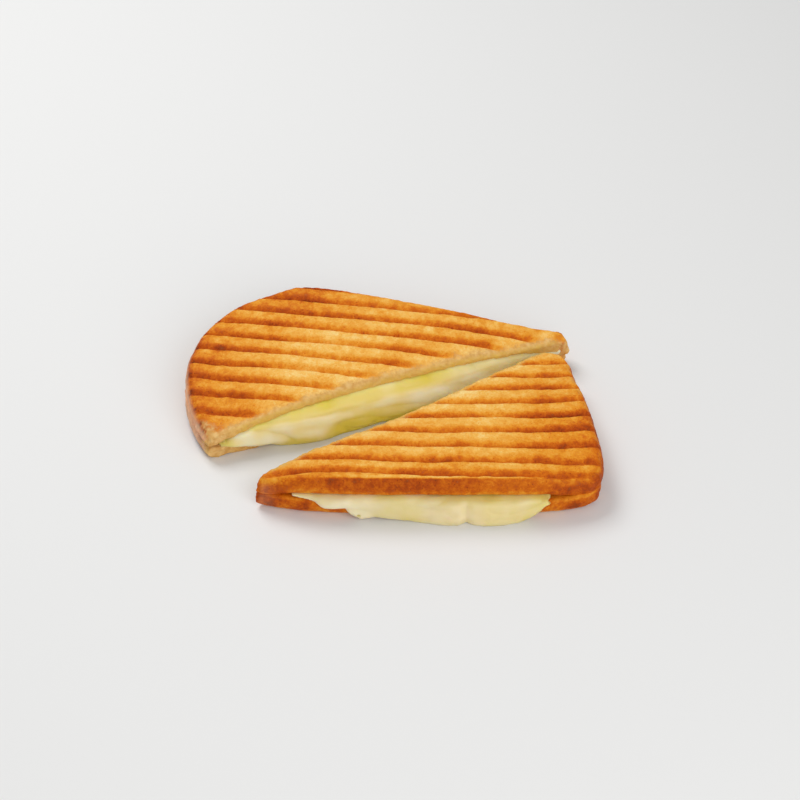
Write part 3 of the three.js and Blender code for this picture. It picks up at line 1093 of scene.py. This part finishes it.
    def _sculpt(self, mesh: FineMesh) -> None:
        """Works the skin's bumps and the crumb's pores into the mesh.

        Args:
            mesh: The slice's mesh.
        """
        points, normals = mesh.points(), mesh.normals()
        seed = 11 if self.level is Level.UPPER else 29
        noise = LatticeNoise(seed)
        skin = self.pebble * noise.layered(points, 2.0, 2)
        skin += 0.14 * noise.at(points, 6.0)
        open_crumb = ease(2.6, 0.2, self._cut)
        pores = PoreField(seed).at(points, self.pore_cell)
        crumb = -self.pore_depth * pores + 0.3 * noise.layered(points, 2.4, 2)
        raised = skin * (1.0 - open_crumb) + crumb * open_crumb
        if not self.half.is_front:
            raised += self.tip_lumps.at(self._places) * noise.layered(points, 3.4, 2)
        moved = points + normals * raised[:, None]
        if self.level is Level.LOWER:
            moved[:, 2] = np.maximum(moved[:, 2], 0.0)
        mesh.move(moved)

    def _judge(self, mesh: FineMesh) -> None:
        """Judges how toasted and how open each point is, paints light and shade into the toasting, and keeps
        that on the mesh.

        Args:
            mesh: The slice's mesh.
        """
        noise = LatticeNoise(5)
        x = self._places[:, 0]
        patches = noise.layered(self._places, 20.0, 3)
        blots = noise.layered(self._places + 50.0, 4.5, 3)
        face = mesh.spread(ease(0.3, 0.7, self._outer), 4)
        wall = 1.0 - face
        # Grooves browner, the band reaching further up the wall behind each groove, which faces the front
        # and away from the key light: browning with painted shade.
        gap = self._gap + 0.3 * noise.at(self._places, 4.0)
        band = np.where(gap > 0.0, ease(3.7, 0.8, gap), ease(-1.1, -0.3, gap))
        band = band * ease(-1.0, self.half.groove_end, self._cut)
        band = band * (0.45 + 0.55 * ease(0.5, 9.0, self._rim))
        # Painted shade: each crest darker towards its front, where it slopes down away from the key light.
        behind = np.where(gap < 0.0, -gap, self.ridges.pitch - gap)
        toast_and_painted_light = self.even_toast + 0.09 * patches + 0.1 * ease(3.0, 7.5, behind) * face
        toast_and_painted_light += blots * (0.03 + 0.07 * ease(40.0, 4.0, self._rim) + 0.06 * wall)
        toast_and_painted_light += self.groove_browning_and_shade * band * face * (1.0 + 0.3 * patches)
        toast_and_painted_light -= 0.09 * ease(12.0, 32.0, self._rim)
        toast_and_painted_light -= 0.1 * face * ease(12.0, 3.0, self._cut) * (1.0 - band) * ease(-66.0, -30.0, x)
        toast_and_painted_light += 0.09 * ease(9.0, 1.0, self._rim) * face
        toast_and_painted_light += self.wall_toast * wall
        toast_and_painted_light += self._toasted_places() * (0.8 + 0.4 * patches)
        # Painted light: paler along the seam between the slices, against the shade of the slit there.
        toast_and_painted_light -= 0.14 * ease(1.6, 0.2, np.abs(mesh.points()[:, 2] - self.seam)) * ease(4.0, 1.0, self._rim)
        if self.half.is_front and self.level is Level.UPPER:
            toast_and_painted_light = self._front_wall(toast_and_painted_light, mesh.points()[:, 2], face, noise)
        mesh.keep("toast_and_painted_light", np.clip(toast_and_painted_light, 0.0, 1.0))
        hidden = mesh.spread(ease(0.4, 0.8, -self._outer), 2) * ease(3.0, 6.0, self._rim)
        crumb = np.maximum(self._open_crumb(noise, band * face), hidden)
        mesh.keep("crumb", np.clip(crumb, 0.0, 1.0))
        # Olive-yellow crumb along the cut, weaker on the lower slice: the cheese's soaking with painted
        # shade of the slit.
        soaked_and_shaded = 1.0 if self.level is Level.UPPER else 0.3
        mesh.keep("edge", soaked_and_shaded * ease(2.4, 0.2, self._cut) * ease(-72.0, -60.0, x) * ease(80.0, 60.0, x))
        mesh.keep("side", 0.7 * wall * ease(-50.0, -80.0, x) * ease(1.0, 3.0, self._cut))

    def _front_wall(self, toast_and_painted_light: Measure, z: Measure, face: Measure, noise: LatticeNoise) -> Measure:
        """Toasts the front crust and paints its light: a pale narrow crest, which is a painted highlight,
        and below it a wall that is darkest at its top and paler at its bottom, where light bounced from the
        cheese is painted.

        Args:
            toast_and_painted_light: How toasted each point is so far, with the light and shade painted in.
            z: Height of each point.
            face: How far each point belongs to the top.
            noise: Relief of the toast.

        Returns:
            How toasted each point is with its front crust, its painted highlight and its painted bounce
            light.
        """
        x, y = self._places[:, 0], self._places[:, 1]
        strokes = noise.at(self._places * np.array([1.0, 0.3, 0.2]), 1.3)
        blots = noise.layered(self._places, 4.0, 3)
        wall = ease(2.7, 1.9, self._front + 0.15 * noise.at(self._places, 3.0))
        # Painted highlight: the narrow crest is paler, fading into darker toasting at its ends.
        crest = 0.24 + 0.3 * ease(-8.0, -44.0, x) + 0.16 * ease(26.0, 62.0, x) + 0.05 * blots
        # Dark wall below, paler towards its bottom: painted light bounced up from the cheese.
        dark = 0.78 - 0.22 * ease(17.0, 12.0, z) - 0.14 * ease(5.0, 50.0, x) + 0.05 * strokes
        dark += ease(5.0, -40.0, x) * (0.1 * blots - 0.06)
        fade = ease(-56.0, -40.0, x + 3.0 * blots) * ease(66.0, 50.0, x + 3.0 * blots)
        share = ease(4.0, 3.4, self._front) * ease(-60.0, -66.0, y) * fade
        return toast_and_painted_light + share * (crest + (dark - crest) * wall - toast_and_painted_light) + 0.06 * (1.0 - face) * (1.0 - share)

    def _open_crumb(self, noise: LatticeNoise, band: Measure) -> Measure:
        """Returns how open the crumb is at each point.

        Args:
            noise: Relief of its ragged border.
            band: Share of each point in a groove, whose crust reaches closer to the cut.

        Returns:
            The openness, from 0 to 1.
        """
        x, y = self._places[:, 0], self._places[:, 1]
        ragged = noise.layered(self._places, 5.0, 3)
        width = self.half.crumb_width if self.level is Level.UPPER else 1.0
        reach = self._cut + 0.8 * ragged + 0.6 * width * band
        reach -= 0.45 * width * noise.layered(self._places + 80.0, 12.0, 2)
        crumb = ease(width + 3.4, width - 2.2, reach)
        if self.half.is_front:
            return crumb * ease(-62.0, -52.0, x)
        for middle_x, middle_y, size in self.open_corners:
            gap = np.hypot(x - middle_x, y - middle_y) + 1.6 * ragged
            crumb = np.maximum(crumb, 0.9 * ease(size + 3.0, size - 4.0, gap) * ease(-0.2, 1.2, self._rim))
        return crumb * (1.0 - self.tip_crust.at(self._places))

    def _toasted_places(self) -> Measure:
        """Works out where the press was hottest, and where the back half's rim is scorched.

        Returns:
            How much more toasted each point is.
        """
        extra = np.zeros(len(self._cut))
        if not self.half.is_front:
            specks = np.clip(2.5 * LatticeNoise(8).at(self._places, 1.3), 0.0, 1.0)
            rim = ease(3.2, 0.6, self._rim) * ease(-30.0, -65.0, self._places[:, 0])
            extra += rim * (0.12 + 0.3 * specks)
        for spot in self.half.hot_spots:
            extra += spot.at(self._places)
        return extra


@dataclass
class MeltedCheese:
    """The melted cheese of one half: the layer between the slices and what ran out of it.

    Attributes:
        half: The half that it belongs to.
        finish: Its material.
        voxel: Width of the mesh's faces.
        soften: How many times the corners are softened.
        buried: How far from its sides the bread covers all.
        hidden_share: Share of the faces kept there.
        swell: How far it swells, to lie against the bread.
        fold: Height of its soft folds.
        seam: Height of the seam between the slices, where it starts as a string.
        hole: Middle of the small hole in the front curtain.
        corner: Where the back half's cheese is drawn in at its corner.
        tip: Where it is drawn in at its tip.
    """

    half: Half
    finish: bpy.types.Material
    voxel: float = 0.5
    soften: int = 8
    buried: float = 7.0
    hidden_share: float = 0.08
    swell: float = 0.42
    fold: float = 0.8
    seam: float = 10.6
    hole: tuple[float, float, float] = (-17.9, -79.8, 3.3)
    corner: Spot = Spot(-77.0, -62.0, 9.0)
    tip: Spot = Spot(74.0, 18.0, 6.0)

    @property
    def node(self) -> str:
        """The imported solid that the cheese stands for."""
        return f"{self.half.label}_half_cheese"

    def build(self) -> bpy.types.Object:
        """Makes the cheese.

        Returns:
            The finished piece.
        """
        mesh = FineMesh(self.node, f"{self.half.label}_melt", self.voxel, self.soften)
        points, normals = mesh.points(), mesh.normals()
        sides = points[np.abs(normals[:, 2]) < 0.4]
        inside = nearest(points, sides)
        mesh.thin((inside > self.buried) & (np.abs(normals[:, 2]) > 0.6), self.hidden_share)
        points, normals = mesh.points(), mesh.normals()
        places = self.half.in_slice(points)
        noise = LatticeNoise(41)
        folds = self._folds(places, noise)
        moved = points + normals * (self.swell + folds)[:, None]
        moved += self._drawn_in(places, noise)
        moved[:, 2] = np.maximum(moved[:, 2], 0.0)
        mesh.move(moved)
        # The tint carries painted light and shade: whitish where lit, greener where shaded, dark in the
        # hole.
        mesh.keep("shade", np.clip(self._shade(places, folds, noise), 0.0, 1.0))
        return mesh.finish(self.finish, self.node, "melted_cheese")

    def _folds(self, places: Points, noise: LatticeNoise) -> Measure:
        """Returns how far the soft folds stand out at each point, with creases between them.

        Args:
            places: Places in the slice's frame.
            noise: Relief that the folds are made with.

        Returns:
            The height of the folds.
        """
        out = np.array(self.half.cut_facing)
        along = places[:, :2] @ np.array([-out[1], out[0]])
        across = places[:, :2] @ out
        drawn = np.stack([along * 0.2 + places[:, 2] * 0.3, across * 0.5, places[:, 2] * 0.9], axis=1)
        humps = 2.0 * np.abs(noise.at(drawn, 4.2)) ** 0.8 - 0.9
        humps += 0.5 * noise.at(np.stack([along * 0.4, across, places[:, 2]], axis=1) + 31.0, 3.0)
        if not self.half.is_front:
            against = ease(9.0, 11.5, places[:, 2])
            return self.fold * humps * (1.0 - 0.6 * against) + 0.4 * against
        hole = np.linalg.norm(places - np.array(self.hole), axis=1)
        return 0.45 * self.fold * humps - 1.2 * ease(1.1, 0.3, hole)

    def _drawn_in(self, places: Points, noise: LatticeNoise) -> Points:
        """Returns the moves that thin the cheese out to a string or draw it in at its ends.

        Args:
            places: Places in the slice's frame.
            noise: Relief of its ragged ends.

        Returns:
            The move of each point.
        """
        x, y, z = places.T
        move = np.zeros(places.shape)
        if not self.half.is_front:
            corner, tip = self.corner.at(places), self.tip.at(places)
            move[:, 0] += 5.5 * corner - 0.3 * tip
            move[:, 1] += 2.5 * corner + 0.3 * tip
            return move
        outside = ease(-71.0, -73.0, y)
        move[:, 2] += outside * ease(-33.0, -46.0, x) * 0.7 * (self.seam - z)
        move[:, 0] += outside * ease(56.0, 64.0, x) * (1.9 * noise.layered(places, 2.2, 3) - 0.6)
        return move

    def _shade(self, places: Points, folds: Measure, noise: LatticeNoise) -> Measure:
        """Judges how yellow each point is, with light and shade painted in: whitish where lit, greener where
        shaded, dark in the hole.

        Args:
            places: Places in the slice's frame.
            folds: How far each point stands out.
            noise: Relief that the clouds are made with.

        Returns:
            0 where it is whitish with a painted highlight, 0.8 where it is greenish yellow with painted
            shade and 1 in the painted dark of the hole.
        """
        x, z = places[:, 0], places[:, 2]
        clouds = noise.layered(places * np.array([0.5, 0.5, 1.0]), 8.0, 2)
        hollow = np.clip(-folds / self.fold, -1.0, 1.0)
        if not self.half.is_front:
            # Painted shade: greener under the overhanging crumb (top), low down towards the front half (low)
            # and in the creases (hollow); the whitish band between is a painted highlight.
            top = ease(9.5, 13.5, z)
            low = ease(6.5, 2.0, z) * (0.15 + 0.85 * ease(-52.0, -36.0, x) * ease(18.0, 8.0, x))
            shade = 0.18 + 0.48 * top + 0.46 * low + 0.16 * clouds + 0.18 * hollow
            # Yellower towards the left corner; whiter towards the right, painted light against the shade of
            # the narrow slit there.
            shade += 0.14 * ease(-46.0, -58.0, x) + 0.2 * ease(-60.0, -74.0, x) - 0.22 * ease(14.0, 34.0, x)
            shade += 0.3 * ease(54.0, 68.0, x)
            # Painted shade: an olive patch low down beside the front half.
            shade += 0.26 * ease(10.0, 6.0, z) * ease(-30.0, -18.0, x) * ease(12.0, 2.0, x)
            return np.clip(shade, 0.0, 0.8)
        # Painted shade: the dark inside the small hole.
        hole = ease(1.1, 0.5, np.linalg.norm(places - np.array(self.hole), axis=1))
        shade = 0.28 + 0.19 * ease(10.0, 40.0, x) + 0.06 * ease(44.0, 60.0, x)
        # Painted shade: yellower at the top of the curtain, under the upper slice; clouds and creases vary
        # it.
        shade += 0.14 * clouds + 0.08 * hollow + 0.08 * ease(9.0, 11.0, z)
        return np.clip(shade, 0.0, 0.8) + 0.4 * hole


@dataclass
class Sandwich:
    """Both halves of the sandwich.

    Attributes:
        halves: Where they lie and how they differ.
        ridges: The grill's grooves, which both share.
    """

    halves: tuple[Half, ...] = (
        Half(
            label="front",
            turn=0.0,
            cut_facing=(-0.47, 0.883),
            lean=0.0,
            bends=((3.6, 20.0, -50.0), (2.1, 60.0, 86.0)),
            rolled=((0.0, 0.0), (1.0, 0.0)),
            crumb_width=0.5,
            lower_lip=0.6,
            groove_end=3.0,
            hot_spots=(
                Spot(92.0, -70.0, 30.0, 0.1),
                Spot(-62.0, -74.0, 20.0, 0.16),
                Spot(90.0, -36.0, 12.0, 0.08),
                Spot(42.0, -60.0, 24.0, 0.07),
            ),
        ),
        Half(
            label="back",
            turn=math.radians(-6.4),
            cut_facing=(0.457, -0.889),
            lean=-0.0246,
            bends=(),
            rolled=((0.0, 2.3), (0.9, 1.6), (2.4, 0.9), (4.6, 0.4), (7.5, 0.0)),
            crumb_width=2.6,
            lower_lip=0.3,
            groove_end=8.0,
            hot_spots=(
                Spot(-96.0, -26.0, 26.0, 0.13),
                Spot(22.0, 32.0, 28.0, -0.1),
                Spot(54.0, 26.0, 16.0, -0.12),
                Spot(-80.0, -46.0, 13.0, 0.17),
                Spot(-48.0, 31.0, 17.0, 0.26),
                Spot(60.0, 17.5, 7.0, 0.3),
                Spot(72.0, 20.5, 3.5, 0.4),
                Spot(4.0, 28.0, 18.0, -0.06),
            ),
        ),
    )
    ridges: RidgeField = field(default_factory=RidgeField)

    def build(self) -> list[bpy.types.Object]:
        """Makes all pieces of both halves.

        Returns:
            The finished pieces.
        """
        toast_and_painted_light = ToastFinish().material()
        melts = (
            CheeseFinish("front_cheese", (248, 234, 204), (236, 216, 164), (228, 208, 126), (210, 188, 60)),
            CheeseFinish("cut_cheese", (255, 244, 214), (246, 228, 170), (236, 214, 118), (230, 208, 74)),
        )
        pieces = []
        for half, melt in zip(self.halves, melts):
            for level in Level:
                pieces.append(BreadSlice(half, level, self.ridges, toast_and_painted_light).build())
            pieces.append(MeltedCheese(half, melt.material()).build())
        return pieces


@dataclass(frozen=True)
class Lamp:
    """A soft square light that faces the sandwich.

    Attributes:
        name: Its name.
        place: Where it hangs.
        width: Width of its face.
        power: Its power in watts.
    """

    name: str
    place: tuple[float, float, float]
    width: float
    power: float

    def build(self) -> None:
        """Hangs the lamp."""
        data = bpy.data.lights.new(self.name, "AREA")
        data.size = self.width * MM
        data.energy = self.power
        lamp = bpy.data.objects.new(self.name, data)
        lamp.location = Vector(self.place) * MM
        lamp.rotation_euler = (-lamp.location).to_track_quat("-Z", "Y").to_euler()
        bpy.context.scene.collection.objects.link(lamp)


@dataclass
class Studio:
    """Pale floor, soft light and the camera.

    Attributes:
        lamps: The lamps.
        room_light: How bright the pale room around them is.
        floor_width: Width of the floor.
        look_at: Point of the row's frame that the camera is aimed at.
        elevation: Angle of the camera above the floor, in degrees.
        distance: From the camera to that point.
        lens: Focal length.
        sensor: Width of the camera's sensor.
        shift: Where the aim lies in the picture, as shares of its width.
    """

    lamps: tuple[Lamp, ...] = (
        Lamp("key", (-420.0, 520.0, 900.0), 540.0, 6.6),
        Lamp("fill", (400.0, -760.0, 560.0), 900.0, 5.5),
    )
    room_light: float = 0.38
    floor_width: float = 6000.0
    look_at: tuple[float, float, float] = (5.128, 15.231, 0.0)
    elevation: float = 42.6
    distance: float = 906.0
    lens: float = 90.0
    sensor: float = 36.0
    shift: tuple[float, float] = (-0.00125, -0.00875)

    def build(self) -> None:
        """Makes the floor, the lights and the camera."""
        self._floor()
        for lamp in self.lamps:
            lamp.build()
        self._surroundings()
        self._camera()
        bpy.context.scene.view_settings.view_transform = "Standard"

    def _floor(self) -> None:
        """Makes the floor, which isn't part of the sandwich."""
        half = self.floor_width / 2 * MM
        mesh = bpy.data.meshes.new("floor")
        corners = [(-half, -half, 0.0), (half, -half, 0.0), (half, half, 0.0), (-half, half, 0.0)]
        mesh.from_pydata(corners, [], [(0, 1, 2, 3)])
        mesh.materials.append(FloorFinish().material())
        floor = bpy.data.objects.new("floor", mesh)
        bpy.context.scene.collection.objects.link(floor)

    def _surroundings(self) -> None:
        """Makes the even light of a pale room."""
        world = bpy.data.worlds.new("pale_room")
        world.use_nodes = True
        sky = world.node_tree.nodes["Background"]
        sky.inputs["Color"].default_value = (1.0, 1.0, 1.0, 1.0)
        sky.inputs["Strength"].default_value = self.room_light
        bpy.context.scene.world = world

    def _camera(self) -> None:
        """Makes the camera, at the height and distance that the sandwich is seen from."""
        data = bpy.data.cameras.new("camera")
        data.lens = self.lens
        data.sensor_width = self.sensor
        data.shift_x, data.shift_y = self.shift
        camera = bpy.data.objects.new("camera", data)
        tilt = math.radians(self.elevation)
        back = Vector((0.0, -math.cos(tilt), math.sin(tilt)))
        camera.location = (Vector(self.look_at) + back * self.distance) * MM
        camera.rotation_euler = (math.radians(90.0) - tilt, 0.0, 0.0)
        bpy.context.scene.collection.objects.link(camera)
        bpy.context.scene.camera = camera


def main() -> None:
    """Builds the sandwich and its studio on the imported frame."""
    logging.basicConfig(level=logging.INFO, format="%(name)s: %(message)s")
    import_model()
    pieces = Sandwich().build()
    Studio().build()
    log.info("%d pieces made", len(pieces))


if __name__ == "__main__":
    main()
